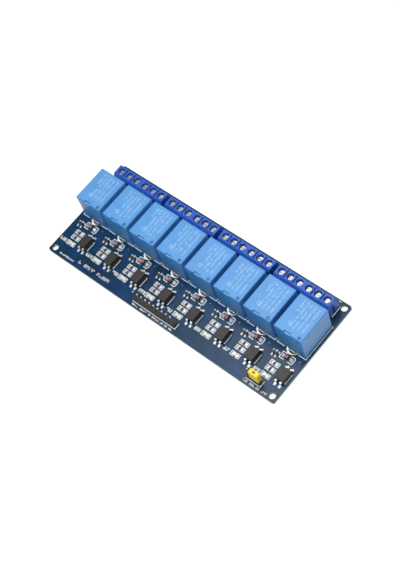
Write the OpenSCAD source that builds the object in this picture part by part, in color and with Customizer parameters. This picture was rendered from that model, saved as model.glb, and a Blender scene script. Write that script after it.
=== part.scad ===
// Eight-channel relay module board.
// All lengths are in millimetres. +X runs along the board, +Y towards the screw terminals and +Z up.
// The origin lies on the surface that the trimmed pins stand on, under the middle of the board.
// Layout values count from the board's front left corner, and heights from its upper face.

/* [Board] */
// Thickness of the board
board_t = 1.6; // [1.2:0.1:2.4]
// Radius of the board's corners
board_corner_r = 1; // [0.5:0.25:2.5]
// Diameter of the four mounting holes
mount_hole_d = 3.2; // [2.6:0.1:3.4]
// Distance from two board edges to the centre of each mounting hole
mount_inset = 2.5; // [2.3:0.1:3.2]
// Length of pin left under the board after trimming
stub_h = 1.6; // [1.2:0.1:2.5]
// Clearance added to the diagonal of a pin to give its plated hole
hole_clearance = 0.3; // [0.2:0.05:0.5]
// Board left bare behind the terminal blocks
back_margin = 2.5; // [1.5:0.25:5]

/* [Isolation slots] */
// Radius of the curved slot's centre line
slot_r = 3; // [2.6:0.1:3.6]
// Width of the milled slot
slot_w = 1; // [0.8:0.1:1.4]
// Straight length at both ends of the slot
slot_arm = 0.8; // [0.2:0.1:1.5]
// How far the slot's centre lies in front of the common pin
slot_lead = 1.15; // [0.4:0.05:1.5]
// Board between the diode row and the slot
slot_gap = 1.15; // [0.6:0.05:3]

/* [Relays] */
// Width of a relay case along the board
relay_w = 15.15; // [14.5:0.05:17]
// Depth of a relay case across the board
relay_d = 18.95; // [17:0.05:21]
// Height of a relay above the board
relay_h = 15.4; // [12:0.1:20]
// Gap between two relays
relay_gap = 2.05; // [0.5:0.05:4]
// Board to the left of the first relay
relay_left_margin = 2.025; // [0.5:0.025:6]
// Board to the right of the last relay
relay_right_margin = 1.425; // [0.5:0.025:6]
// Radius of the upright edges of the case
case_edge_r = 0.4; // [0.2:0.05:0.8]
// Bevel round the top of the case
case_bevel = 0.3; // [0.1:0.05:0.6]
// Wall of the case round the sealed base
case_wall = 0.9; // [0.6:0.1:1.5]
// How deep the sealed base lies inside the rim
base_recess = 0.5; // [0.2:0.1:1.5]
// Height of the four feet of the case
foot_h = 0.3; // [0.2:0.1:0.8]
// Side of each square foot
foot_w = 1.6; // [1:0.1:3]
// Width of the notch in the front top edge
notch_w = 3.6; // [2:0.1:5]
// Depth of the notch from the front of the case
notch_d = 1; // [0.5:0.05:1.5]
// Height of the notch
notch_h = 0.8; // [0.3:0.05:1.2]
// Shift of the notch from the middle of the case
notch_shift = -0.35; // [-2:0.05:2]
// Diameter of the vent ring on the top
vent_d = 1.6; // [1:0.1:2]
// Distance from the right side to the vent's centre
vent_inset = 1.95; // [1.5:0.05:4]
// Distance from the front to the vent's centre
vent_front = 1.35; // [1:0.05:4]
// Width and depth of the vent's groove
vent_groove = 0.2; // [0.1:0.05:0.3]

/* [Relay pins] */
// Width of a relay pin along the board
relay_pin_w = 0.9; // [0.6:0.05:1.2]
// Thickness of a relay pin
relay_pin_t = 0.5; // [0.3:0.05:0.8]
// Length of each pin inside the sealed base
pin_seat = 1; // [0.5:0.1:3]
// Distance from a side of the case to the outer pins
side_pin_inset = 1.575; // [1.5:0.025:3]
// Distance from the front of the case to the common pin
com_pin_inset = 2.33; // [1.8:0.01:3]
// Distance from the common pin back to the two coil pins
coil_pin_step = 2; // [1.8:0.05:4]
// Distance from the back of the case to the contact pins
contact_pin_inset = 2.42; // [1.5:0.01:4]

/* [Terminal blocks] */
// Distance between two wire entries
pole_pitch = 5.08; // [5.08:0.01:5.6]
// Plastic beyond the poles at each end of a block
block_side = 0.05; // [0.05:0.05:0.6]
// Depth of a block across the board
block_d = 7.55; // [7.5:0.05:9]
// Height of a block above the board
block_h = 9.8; // [9.4:0.1:12]
// Width of the bevel along the front top edge
front_bevel_w = 0.95; // [0.3:0.05:1.1]
// Height of the bevel along the front top edge
front_bevel_h = 1.3; // [0.3:0.05:2]
// Width of the slope at the back
back_slope_w = 1.7; // [0.8:0.05:1.9]
// Height of the slope at the back
back_slope_h = 4.8; // [2:0.1:5]
// Gap between the relays and the blocks
block_gap = 2.48; // [0.5:0.02:6]
// Gap between two pairs of joined blocks
group_gap = 2.22; // [1:0.02:5]
// Board between the left mounting hole and the blocks
row_start_gap = 0.82; // [0.6:0.02:4]
// Board between the blocks and the right mounting hole
row_end_gap = 0.6; // [0.3:0.05:4]
// Diameter of the well over each screw
well_d = 3.5; // [3.3:0.05:4]
// Distance from the front of a block to the screws
well_front = 3.3; // [3.25:0.05:3.5]
// Width of the dividing grooves on top
divider_w = 0.65; // [0.3:0.05:1]
// Length of the dividing grooves
divider_l = 4.2; // [3:0.1:4.4]
// Depth of the dividing grooves
divider_depth = 1; // [0.5:0.1:2]
// Depth of the dovetail tongue that joins two blocks
dovetail_depth = 0.5; // [0.3:0.05:0.5]
// Height of the dovetail tongue
dovetail_h = 6.5; // [3:0.5:8]

/* [Terminal inner parts] */
// Width of the chamber round each clamp
chamber_w = 3.5; // [3.3:0.05:3.7]
// Plastic under the chamber
chamber_floor = 0.8; // [0.5:0.05:1]
// Plastic in front of and behind the chamber
chamber_wall = 1; // [0.8:0.05:1.1]
// Clear height of the chamber
chamber_h = 5.3; // [5.25:0.05:5.6]
// Width of the wire entry
entry_w = 3.1; // [2.5:0.1:3.2]
// Height of the wire entry
entry_h = 3.7; // [2.5:0.1:4]
// Plastic between the chamber and the screw head
ledge_t = 0.6; // [0.4:0.05:0.8]
// Thickness of the contact strip
strip_t = 0.4; // [0.3:0.05:0.5]
// Width of the contact strip
strip_w = 1.9; // [1.2:0.05:2]
// Depth of the wire clamp
clamp_d = 3.6; // [3:0.05:3.8]
// Height of the wire clamp
clamp_h = 4.7; // [4.6:0.05:4.8]
// Wall of the wire clamp at the sides and the bottom
clamp_wall = 0.5; // [0.4:0.05:0.55]
// Wall of the wire clamp round the screw thread
clamp_top = 0.9; // [0.6:0.05:1]
// Gap between the clamp and the chamber at each side
clamp_play = 0.1; // [0.05:0.05:0.15]
// Gap between the screw thread's wall and the strip below it
strip_gap = 0.4; // [0.2:0.05:0.6]
// Diameter of the screw head
screw_head_d = 3.2; // [3:0.05:3.25]
// Height of the screw head
screw_head_h = 1.5; // [1:0.1:1.8]
// Diameter of the screw's thread
screw_d = 2.5; // [2:0.1:2.6]
// Clearance between the screw and the clamp's thread
thread_play = 0.02; // [0.01:0.01:0.1]
// Width of the screwdriver slot
driver_slot_w = 0.55; // [0.4:0.05:0.8]
// Depth of the screwdriver slot
driver_slot_h = 0.7; // [0.4:0.05:0.8]
// Side of the square terminal pin
terminal_pin_w = 0.9; // [0.7:0.05:1.1]

/* [Front rows] */
// Distance from the front edge to the input header's pins
input_header_y = 3.85; // [2:0.05:8]
// Distance from the left edge to the first input pin
input_header_x = 55.2; // [20:0.1:80]
// Distance from the front edge to the power header's pins
power_header_y = 4.1; // [2:0.05:4.5]
// Distance from the right edge to the middle power pin
power_header_right = 13.69; // [10:0.01:25]
// Distance from the input header's pins to the lamp row
lamp_row_step = 4.5; // [3.5:0.05:8]
// Distance from the lamp row to the lamp resistors
lamp_resistor_step = 3.5; // [2:0.05:6]
// Distance from the lamp resistors to the base resistors
base_resistor_step = 3.1; // [2:0.05:6]
// Distance from the base resistors to the transistors
transistor_step = 4.15; // [3.5:0.05:8]
// Distance from the transistors to the diodes
diode_step = 1.15; // [0.5:0.05:4]
// Distance from the lamp row to the optocouplers
opto_step = 3.95; // [3.2:0.05:4.6]
// Shift of the lamps and chip resistors from the relay's middle
chip_shift = -2.1; // [-3:0.05:-1]
// Shift of the transistors from the relay's middle
transistor_shift = -5.2; // [-6:0.05:-4.5]
// Shift of the diodes from the relay's middle
diode_shift = 0.8; // [0:0.05:2]
// Shift of the optocouplers from the relay's middle
opto_shift = 5.15; // [4:0.05:5.5]

/* [Headers] */
// Distance between two header pins
pin_pitch = 2.54; // [2:0.01:3]
// Number of pins in the input header
input_pins = 10; // [6:1:20]
// Number of pins in the power header
power_pins = 3; // [3:1:6]
// Side of the square header pins
pin_w = 0.64; // [0.5:0.01:0.8]
// Height of the pin tips above the board
pin_h = 8.15; // [7:0.05:12]
// Height of the moulded base strip
base_h = 2.5; // [1.5:0.1:3]
// Depth of the moulded base strip
base_d = 2.54; // [2:0.01:3]
// Bevel between the segments of the base strip
base_bevel = 0.45; // [0.2:0.05:0.7]
// Taper at the tip of each pin
pin_taper = 0.18; // [0.1:0.01:0.22]
// Gap between the jumper cap's shells and the next pin pitch
cap_end_gap = 0.03; // [0:0.01:0.3]
// Depth of the jumper cap
cap_d = 2.5; // [2:0.05:3]
// Thickness of plastic over the pin tips
cap_roof = 0.3; // [0.2:0.05:1]
// Length of the test hole in the jumper cap
test_hole_l = 1.4; // [0.8:0.1:1.8]
// Width of the test hole in the jumper cap
test_hole_w = 0.9; // [0.6:0.05:1]
// Thickness of the clip's spring plates
clip_t = 0.25; // [0.15:0.05:0.3]
// How far the clip reaches past the outer sides of the pins
clip_reach = 0.25; // [0.1:0.05:0.4]

/* [Small parts] */
// Length of a chip resistor or lamp
chip_l = 2; // [1.6:0.1:2.4]
// Width of a chip resistor or lamp
chip_w = 1.25; // [0.8:0.05:1.4]
// Height of a chip resistor
chip_h = 0.5; // [0.35:0.05:0.7]
// Length of each metal end of a chip
chip_end = 0.35; // [0.2:0.05:0.5]
// Thickness of the metal ends over the ceramic
chip_step = 0.04; // [0.02:0.01:0.08]
// Thickness of a lamp's carrier plate
lamp_base_h = 0.35; // [0.2:0.05:0.5]
// Height of a lamp's lens over its carrier plate
lamp_lens_h = 0.45; // [0.3:0.05:0.7]
// Radius of the half round notches at a lamp's ends
lamp_notch_r = 0.25; // [0.15:0.05:0.3]
// Length of a diode over its caps
diode_l = 3.5; // [3.2:0.1:4]
// Diameter of a diode's caps
diode_cap_d = 1.6; // [1.4:0.05:1.8]
// Length of each cap
diode_cap_l = 0.5; // [0.3:0.05:0.7]
// Metal of a cap round the glass
diode_cap_t = 0.06; // [0.04:0.01:0.12]
// Width of an optocoupler at its parting line
opto_w = 4.58; // [4.2:0.02:5]
// Depth of an optocoupler at its parting line
opto_d = 6.5; // [6:0.1:7]
// Height of an optocoupler over the board
opto_h = 3.6; // [3:0.1:4.5]
// Reach of the optocoupler leads from front to back
opto_span = 10; // [9.2:0.1:10.4]
// Distance between two leads of an optocoupler
opto_lead_pitch = 2.54; // [2:0.01:2.8]
// Width of an optocoupler lead
opto_lead_w = 1; // [0.5:0.05:1.2]
// Thickness of an optocoupler lead
opto_lead_t = 0.25; // [0.15:0.05:0.35]
// Length of an optocoupler lead's foot
opto_foot = 0.75; // [0.5:0.05:1]
// Width of a transistor body
sot_w = 2.9; // [2.6:0.1:3.1]
// Depth of a transistor body
sot_d = 1.3; // [1.1:0.1:1.5]
// Height of a transistor over the board
sot_h = 1.1; // [0.8:0.05:1.3]
// Reach of the transistor leads from front to back
sot_span = 2.5; // [2.3:0.1:2.8]
// Distance between the two front leads
sot_lead_pitch = 1.9; // [1.6:0.1:2.1]
// Width of a transistor lead
sot_lead_w = 0.4; // [0.3:0.05:0.5]
// Thickness of a transistor lead
sot_lead_t = 0.12; // [0.08:0.01:0.2]
// Length of a transistor lead's foot
sot_foot = 0.3; // [0.2:0.05:0.35]
// Air under the moulded bodies
body_lift = 0.1; // [0.05:0.05:0.2]
// Slope of the moulded bodies away from the parting line
body_draft = 0.2; // [0.1:0.02:0.3]

/* [Solder] */
// Width of the solder ring round each plated hole
solder_ring = 0.35; // [0.2:0.05:0.5]
// Height of the solder under the board
solder_h = 0.9; // [0.5:0.05:1.1]
// Solder left round a pin at the foot of its cone
solder_tip = 0.08; // [0.04:0.02:0.15]

/* [Hidden] */
$fn = 48;
channels = 8;
poles = 3;
slack = 0.01;

relay_pin_hole = norm([relay_pin_w, relay_pin_t]) + hole_clearance;
terminal_pin_hole = norm([terminal_pin_w, terminal_pin_w]) + hole_clearance;
header_pin_hole = norm([pin_w, pin_w]) + hole_clearance;

lamp_y = input_header_y + lamp_row_step;
lamp_resistor_y = lamp_y + lamp_resistor_step;
base_resistor_y = lamp_resistor_y + base_resistor_step;
transistor_y = base_resistor_y + transistor_step;
diode_y = transistor_y + diode_step;
opto_y = lamp_y + opto_step;
slot_y = diode_y + diode_cap_d / 2 + slot_gap + slot_r + slot_w / 2;
com_pin_y = slot_y + slot_lead;
relay_front_y = com_pin_y - com_pin_inset;
coil_pin_y = com_pin_y + coil_pin_step;
contact_pin_y = relay_front_y + relay_d - contact_pin_inset;
side_pin_x = relay_w / 2 - side_pin_inset;
channel_pitch = relay_w + relay_gap;

block_w = poles * pole_pitch + 2 * block_side;
block_front_y = relay_front_y + relay_d + block_gap;
row_start_x = mount_inset + mount_hole_d / 2 + row_start_gap;
pair_pitch = 2 * block_w + group_gap;
pairs = ceil(channels / 2);
relay_row_end = relay_left_margin + (channels - 1) * channel_pitch + relay_w + relay_right_margin;
block_row_end = row_start_x + pairs * pair_pitch - group_gap + row_end_gap
    + mount_hole_d / 2 + mount_inset;
board_l = max(relay_row_end, block_row_end);
board_w = block_front_y + block_d + back_margin;
board_top = stub_h + board_t;

clamp_bottom = chamber_floor + strip_t;
clamp_w = chamber_w - 2 * clamp_play;
strip_z = clamp_bottom + clamp_h - clamp_top - strip_gap;
head_z = chamber_floor + chamber_h + ledge_t;
cap_l = 2 * (pin_pitch - cap_end_gap);
cap_top = pin_h + cap_roof;
jumper_x = board_l - power_header_right + (power_pins - 2) * pin_pitch / 2;
opto_mid = opto_h / 2 + body_lift / 2;
sot_mid = sot_h / 2;

function channel_x(k) = relay_left_margin + relay_w / 2 + k * channel_pitch;
function block_x(k) = row_start_x + floor(k / 2) * pair_pitch + (k % 2) * block_w;
function pole_x(i) = block_side + (i + 0.5) * pole_pitch;

// ---------- placing ----------

// Moves from the board's front left corner at its upper face to the part's own frame.
module on_board() translate([-board_l / 2, -board_w / 2, board_top]) children();

// One copy in every channel, at the relay's middle line.
module each_channel() for (k = [0:channels - 1]) translate([channel_x(k), 0, 0]) children();

// One copy at every screw, at the front of the terminal blocks.
module each_pole() {
    for (k = [0:channels - 1], i = [0:poles - 1])
        translate([block_x(k) + pole_x(i), block_front_y, 0]) children();
}

module each_relay_pin() {
    translate([0, com_pin_y, 0]) children();
    for (s = [-1, 1], y = [coil_pin_y, contact_pin_y]) translate([s * side_pin_x, y, 0]) children();
}

module each_input_pin() {
    for (i = [0:input_pins - 1])
        translate([input_header_x + i * pin_pitch, input_header_y, 0]) children();
}

module each_power_pin() {
    for (i = [0:power_pins - 1])
        translate([board_l - power_header_right + (i - 1) * pin_pitch, power_header_y, 0]) children();
}

// ---------- shared forms ----------

// Sweeps an outline of depth and height along X, centred.
module along_x(length) rotate([90, 0, 90]) linear_extrude(length, center = true) children();

// Sweeps an outline of width and height along Y, centred.
module along_y(length) rotate([90, 0, 0]) linear_extrude(length, center = true) children();

module rounded_rect(w, d, r) {
    square([w - 2 * r, d], center = true);
    square([w, d - 2 * r], center = true);
    for (x = [-1, 1], y = [-1, 1]) translate([x * (w / 2 - r), y * (d / 2 - r)]) circle(r);
}

// Outline of an upright bar with bevelled upper corners.
module bevelled_outline(w, h, c) {
    polygon([[-w / 2, 0], [w / 2, 0], [w / 2, h - c], [w / 2 - c, h], [c - w / 2, h],
             [-w / 2, h - c]]);
}

// A box with round upright edges and a bevel round its top.
module case_block(w, d, h, r, c) {
    intersection() {
        linear_extrude(h) rounded_rect(w, d, r);
        along_x(w) bevelled_outline(d, h, c);
        along_y(d) bevelled_outline(w, h, c);
    }
}

// Outline of a moulded body that narrows above and below its parting line.
module drafted_outline(w, z0, z1, mid, draft) {
    polygon([[-w / 2 + draft, z0], [w / 2 - draft, z0], [w / 2, mid], [w / 2 - draft, z1],
             [draft - w / 2, z1], [-w / 2, mid]]);
}

module moulded_body(w, d, h, mid, draft) {
    intersection() {
        along_x(w) drafted_outline(d, body_lift, h, mid, draft);
        along_y(d) drafted_outline(w, body_lift, h, mid, draft);
    }
}

// Outline of a gull wing lead, from inside the body out to the end of its foot.
module gull_wing(from, reach, foot, z, t) {
    bend = reach - foot;
    polygon([[from, z + t / 2], [bend - t, z + t / 2], [bend, t], [reach, t], [reach, 0],
             [bend - 0.8 * t, 0], [bend - 2 * t, z - t / 2], [from, z - t / 2]]);
}

// A square or flat pin between two heights, tapered at its ends.
module pin_bar(w, t, z0, z1, c0, c1) {
    intersection() {
        along_x(w) pin_outline(t, z0, z1, c0, c1);
        along_y(t) pin_outline(w, z0, z1, c0, c1);
    }
}

module pin_outline(w, z0, z1, c0, c1) {
    polygon([[c0 - w / 2, z0], [w / 2 - c0, z0], [w / 2, z0 + 2 * c0], [w / 2, z1 - 2 * c1],
             [w / 2 - c1, z1], [c1 - w / 2, z1], [-w / 2, z1 - 2 * c1], [-w / 2, z0 + 2 * c0]]);
}

// ---------- board ----------

module isolation_slot() {
    outer = slot_r + slot_w / 2;
    inner = slot_r - slot_w / 2;
    difference() {
        union() {
            circle(outer);
            translate([-outer, 0]) square([2 * outer, slot_arm]);
        }
        circle(inner);
        translate([-inner, 0]) square([2 * inner, outer]);
        translate([-outer - 1, slot_arm]) square([2 * outer + 2, outer]);
    }
    for (s = [-1, 1]) translate([s * slot_r, slot_arm]) circle(d = slot_w);
}

module board_outline() {
    difference() {
        translate([board_l / 2, board_w / 2]) rounded_rect(board_l, board_w, board_corner_r);
        for (x = [mount_inset, board_l - mount_inset], y = [mount_inset, board_w - mount_inset])
            translate([x, y]) circle(d = mount_hole_d);
        each_channel() {
            translate([0, slot_y]) isolation_slot();
            each_relay_pin() circle(d = relay_pin_hole);
        }
        each_pole() translate([0, well_front]) circle(d = terminal_pin_hole);
        each_input_pin() circle(d = header_pin_hole);
        each_power_pin() circle(d = header_pin_hole);
    }
}

module circuit_board() {
    color("#154a78") on_board() translate([0, 0, -board_t]) linear_extrude(board_t) board_outline();
}

// ---------- relays ----------

module relay_pin_bar() {
    pin_bar(relay_pin_w, relay_pin_t, -board_top, foot_h + base_recess + pin_seat, 0.1, 0);
}

module relay_case() {
    difference() {
        case_block(relay_w, relay_d, relay_h, case_edge_r, case_bevel);
        // air between the rim and the board, apart from the four feet
        for (s = [0, 1]) {
            span_x = s == 0 ? relay_w - 2 * foot_w : relay_w + 1;
            span_y = s == 0 ? relay_d + 1 : relay_d - 2 * foot_w;
            translate([-span_x / 2, -span_y / 2, -slack]) cube([span_x, span_y, foot_h + slack]);
        }
        // sealed base inside the rim
        translate([0, 0, foot_h]) base_hollow();
        // notch at the front and vent ring on top
        translate([notch_shift - notch_w / 2, -relay_d / 2 - slack, relay_h - notch_h])
            cube([notch_w, notch_d + slack, notch_h + slack]);
        translate([relay_w / 2 - vent_inset, vent_front - relay_d / 2, relay_h - vent_groove])
            vent_ring();
    }
}

module base_hollow() {
    w = relay_w - 2 * case_wall;
    d = relay_d - 2 * case_wall;
    difference() {
        translate([-w / 2, -d / 2, -slack]) cube([w, d, base_recess + slack]);
        for (x = [-1, 1], y = [-1, 1])
            translate([x * (relay_w - foot_w) / 2, y * (relay_d - foot_w) / 2, 0])
                cube([foot_w, foot_w, 2 * base_recess + 2], center = true);
    }
}

module vent_ring() {
    linear_extrude(vent_groove + slack) difference() {
        circle(d = vent_d);
        circle(d = vent_d - 2 * vent_groove);
    }
}

module relay(k) {
    color("#4aa3e0") on_board() translate([channel_x(k), 0, 0]) difference() {
        translate([0, relay_front_y + relay_d / 2, 0]) relay_case();
        each_relay_pin() relay_pin_bar();
    }
}

module relay_pins() color("silver") on_board() each_channel() each_relay_pin() relay_pin_bar();

// ---------- terminal blocks ----------

module block_outline() {
    polygon([[0, 0], [block_d, 0], [block_d, block_h - back_slope_h],
             [block_d - back_slope_w, block_h], [front_bevel_w, block_h],
             [0, block_h - front_bevel_h]]);
}

// Outline of the dovetail seen from above, pointing along -X.
module dovetail(extra) {
    neck = 1.2;
    head = 1.7;
    polygon([[slack, -neck / 2 - extra], [-dovetail_depth - extra, -head / 2 - extra],
             [-dovetail_depth - extra, head / 2 + extra], [slack, neck / 2 + extra]]);
}

module pole_cut() {
    // well, screw hole, chamber, wire entry and pin slot
    translate([0, well_front, head_z]) cylinder(d = well_d, h = block_h - head_z + slack);
    translate([0, well_front, chamber_floor + chamber_h - slack])
        cylinder(d = screw_d + hole_clearance, h = ledge_t + 2 * slack);
    translate([-chamber_w / 2, chamber_wall, chamber_floor])
        cube([chamber_w, block_d - 2 * chamber_wall, chamber_h]);
    translate([-entry_w / 2, block_d - chamber_wall - slack, clamp_bottom])
        cube([entry_w, chamber_wall + 2 * slack, entry_h]);
    translate([0, well_front, chamber_floor / 2])
        cube([terminal_pin_w + 2 * clamp_play, terminal_pin_w + 2 * clamp_play,
              chamber_floor + 2 * slack], center = true);
}

module terminal_block(k) {
    color("#2a5fd6") on_board() translate([block_x(k), block_front_y, 0]) difference() {
        union() {
            translate([block_w / 2, 0, 0]) along_x(block_w) block_outline();
            translate([0, well_front, 0]) linear_extrude(dovetail_h) dovetail(0);
        }
        for (i = [0:poles - 1]) translate([pole_x(i), 0, 0]) pole_cut();
        // grooves between the poles
        for (i = [1:poles - 1])
            translate([block_side + i * pole_pitch - divider_w / 2, well_front - divider_l / 2,
                       block_h - divider_depth])
                cube([divider_w, divider_l, divider_depth + slack]);
        // dovetail groove for the next block
        translate([block_w, well_front, -slack]) linear_extrude(dovetail_h + 2 * slack)
            dovetail(0.05);
    }
}

module contact_strip() {
    back = well_front + clamp_d / 2 + strip_t;
    toe = well_front + terminal_pin_w / 2;
    along_x(strip_w) polygon([
        [chamber_wall, chamber_floor], [toe, chamber_floor], [toe, clamp_bottom],
        [chamber_wall + strip_t, clamp_bottom], [chamber_wall + strip_t, strip_z - strip_t],
        [back, strip_z - strip_t], [back, strip_z], [chamber_wall, strip_z]]);
}

module terminal_pin_bar() {
    translate([0, well_front, 0])
        pin_bar(terminal_pin_w, terminal_pin_w, -board_top, clamp_bottom, 0.15, 0);
}

module terminal_pins() {
    color("gainsboro") on_board() each_pole() union() {
        contact_strip();
        terminal_pin_bar();
    }
}

module wire_clamps() {
    color("#d8c890") on_board() each_pole() translate([0, well_front, clamp_bottom]) difference() {
        translate([-clamp_w / 2, -clamp_d / 2, 0]) cube([clamp_w, clamp_d, clamp_h]);
        translate([clamp_wall - clamp_w / 2, -clamp_d / 2 - slack, clamp_wall])
            cube([clamp_w - 2 * clamp_wall, clamp_d + 2 * slack, clamp_h - clamp_wall - clamp_top]);
        translate([0, 0, clamp_h - clamp_top - slack])
            cylinder(d = screw_d + thread_play, h = clamp_top + 2 * slack);
    }
}

module terminal_screws() {
    color("whitesmoke") on_board() each_pole() translate([0, well_front, 0]) difference() {
        rotate_extrude() polygon([
            [0, strip_z], [screw_d / 2, strip_z], [screw_d / 2, head_z], [screw_head_d / 2, head_z],
            [screw_head_d / 2, head_z + screw_head_h - 0.3],
            [screw_head_d / 2 - 0.3, head_z + screw_head_h], [0, head_z + screw_head_h]]);
        translate([-screw_head_d, -driver_slot_w / 2, head_z + screw_head_h - driver_slot_h])
            cube([2 * screw_head_d, driver_slot_w, driver_slot_h + slack]);
    }
}

// ---------- optocouplers ----------

module opto_lead_set() {
    for (x = [-1, 1], s = [0, 1])
        translate([x * opto_lead_pitch / 2, 0, 0]) mirror([0, s, 0]) along_x(opto_lead_w)
            gull_wing(opto_d / 2 - 0.5, opto_span / 2, opto_foot, opto_mid, opto_lead_t);
}

module optocoupler(k) {
    color("#4a4a46") on_board() translate([channel_x(k) + opto_shift, opto_y, 0]) difference() {
        moulded_body(opto_w, opto_d, opto_h, opto_mid, body_draft);
        opto_lead_set();
        // dimple that marks the first lead
        translate([0.7 - opto_w / 2, 0.8 - opto_d / 2, opto_h - 0.1]) cylinder(d = 0.7, h = 0.2);
    }
}

module optocoupler_leads() {
    color("silver") on_board() each_channel() translate([opto_shift, opto_y, 0]) opto_lead_set();
}

// ---------- transistors ----------

module sot_lead_set() {
    for (x = [-1, 1]) translate([x * sot_lead_pitch / 2, 0, 0]) mirror([0, 1, 0]) sot_lead();
    sot_lead();
}

module sot_lead() {
    along_x(sot_lead_w) gull_wing(sot_d / 2 - 0.2, sot_span / 2, sot_foot, sot_mid, sot_lead_t);
}

module transistors() {
    color("#303030") on_board() each_channel() translate([transistor_shift, transistor_y, 0])
        difference() {
            moulded_body(sot_w, sot_d, sot_h, sot_mid, body_draft / 2);
            sot_lead_set();
        }
}

module transistor_leads() {
    color("silver") on_board() each_channel() translate([transistor_shift, transistor_y, 0])
        sot_lead_set();
}

// ---------- diodes ----------

module along_diode() {
    translate([diode_shift, diode_y, diode_cap_d / 2]) rotate([0, 90, 0]) children();
}

module diode(k) {
    glass_l = diode_l - 2 * diode_cap_t;
    color("#e0937c") on_board() translate([channel_x(k), 0, 0]) along_diode()
        cylinder(d = diode_cap_d - 2 * diode_cap_t, h = glass_l, center = true);
}

module diode_caps() {
    color("silver") on_board() each_channel() along_diode() for (s = [0, 1])
        mirror([0, 0, s]) rotate_extrude() polygon([
            [0, diode_l / 2], [diode_cap_d / 2 - 0.12, diode_l / 2],
            [diode_cap_d / 2, diode_l / 2 - 0.12], [diode_cap_d / 2, diode_l / 2 - diode_cap_l],
            [diode_cap_d / 2 - diode_cap_t, diode_l / 2 - diode_cap_l],
            [diode_cap_d / 2 - diode_cap_t, diode_l / 2 - diode_cap_t],
            [0, diode_l / 2 - diode_cap_t]]);
}

// ---------- lamps and resistors ----------

module status_lamp(k) {
    color("#eef4dc") on_board() translate([channel_x(k) + chip_shift, lamp_y, 0]) union() {
        linear_extrude(lamp_base_h) difference() {
            square([chip_l, chip_w], center = true);
            for (s = [-1, 1]) translate([s * chip_l / 2, 0]) circle(lamp_notch_r);
        }
        lens_l = chip_l - 2 * chip_end;
        slope = lamp_lens_h / 3;
        translate([0, 0, lamp_base_h - slack]) intersection() {
            along_y(chip_w) polygon([
                [-lens_l / 2, 0], [lens_l / 2, 0], [lens_l / 2 - slope, lamp_lens_h + slack],
                [slope - lens_l / 2, lamp_lens_h + slack]]);
            along_x(chip_l) bevelled_outline(chip_w, lamp_lens_h + slack, slope / 2);
        }
    }
}

module chip_resistor() {
    difference() {
        translate([-chip_l / 2, -chip_w / 2, 0]) cube([chip_l, chip_w, chip_h]);
        translate([chip_end - chip_l / 2, -chip_w, chip_h - chip_step])
            cube([chip_l - 2 * chip_end, 2 * chip_w, chip_step + slack]);
    }
}

module base_resistors() {
    color("#2c2c30") on_board() each_channel() translate([chip_shift, base_resistor_y, 0])
        chip_resistor();
}

module lamp_resistors() {
    color("#2c2c30") on_board() each_channel() translate([chip_shift, lamp_resistor_y, 0])
        chip_resistor();
}

// ---------- headers and jumper ----------

module header_pin() pin_bar(pin_w, pin_w, -board_top, pin_h, 0.12, pin_taper);

module base_segment() {
    e = pin_pitch / 2;
    d = base_d / 2;
    linear_extrude(base_h) difference() {
        polygon([[-e, base_bevel - d], [base_bevel - e, -d], [e - base_bevel, -d],
                 [e, base_bevel - d], [e, d - base_bevel], [e - base_bevel, d],
                 [base_bevel - e, d], [-e, d - base_bevel]]);
        square(pin_w, center = true);
    }
}

module input_header_base() color("#3a3734") on_board() union() each_input_pin() base_segment();

module input_header_pins() color("silver") on_board() each_input_pin() header_pin();

module power_header_base() color("#3a3734") on_board() union() each_power_pin() base_segment();

module power_header_pins() color("silver") on_board() each_power_pin() header_pin();

module at_jumper() on_board() translate([jumper_x, power_header_y, base_h]) children();

module jumper_cap() {
    inner_l = pin_pitch + pin_w + 2 * clip_reach + 0.2;
    inner_d = pin_w + 2 * clip_t;
    color("#f0cf3c") at_jumper() difference() {
        case_block(cap_l, cap_d, cap_top - base_h, 0.3, 0.2);
        translate([-inner_l / 2, -inner_d / 2, -slack])
            cube([inner_l, inner_d, pin_h - base_h + 0.05 + slack]);
        translate([-test_hole_l / 2, -test_hole_w / 2, 0])
            cube([test_hole_l, test_hole_w, cap_top - base_h + slack]);
    }
}

module jumper_clip() {
    half = pin_pitch / 2 + pin_w / 2 + clip_reach;
    gap = pin_pitch / 2 - pin_w / 2 - clip_reach;
    z0 = 0.5;
    z1 = pin_h - base_h - 1;
    color("#c9a44a") at_jumper() union() {
        for (s = [-1, 1]) translate([0, s * (pin_w + clip_t) / 2, 0]) along_y(clip_t)
            polygon([[-half, z0], [-gap, z0], [-gap, z1 - 1], [gap, z1 - 1], [gap, z0], [half, z0],
                     [half, z1], [-half, z1]]);
        translate([-gap, -pin_w / 2 - clip_t, z1 - clip_t])
            cube([2 * gap, pin_w + 2 * clip_t, clip_t]);
    }
}

// ---------- solder ----------

// Solder that fills a plated hole and forms a cone under the board.
module solder_joint(hole_d, tip_r) {
    translate([0, 0, -board_t]) cylinder(d = hole_d, h = board_t);
    translate([0, 0, -board_t - solder_h])
        cylinder(r1 = tip_r + solder_tip, r2 = hole_d / 2 + solder_ring, h = solder_h);
}

module solder_joints() {
    color("#d9dcdf") on_board() {
        each_channel() each_relay_pin() difference() {
            solder_joint(relay_pin_hole, norm([relay_pin_w, relay_pin_t]) / 2);
            relay_pin_bar();
        }
        each_pole() difference() {
            translate([0, well_front, 0])
                solder_joint(terminal_pin_hole, norm([terminal_pin_w, terminal_pin_w]) / 2);
            terminal_pin_bar();
        }
        each_input_pin() header_solder();
        each_power_pin() header_solder();
    }
}

module header_solder() {
    difference() {
        solder_joint(header_pin_hole, norm([pin_w, pin_w]) / 2);
        header_pin();
    }
}

// ---------- nodes ----------

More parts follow.
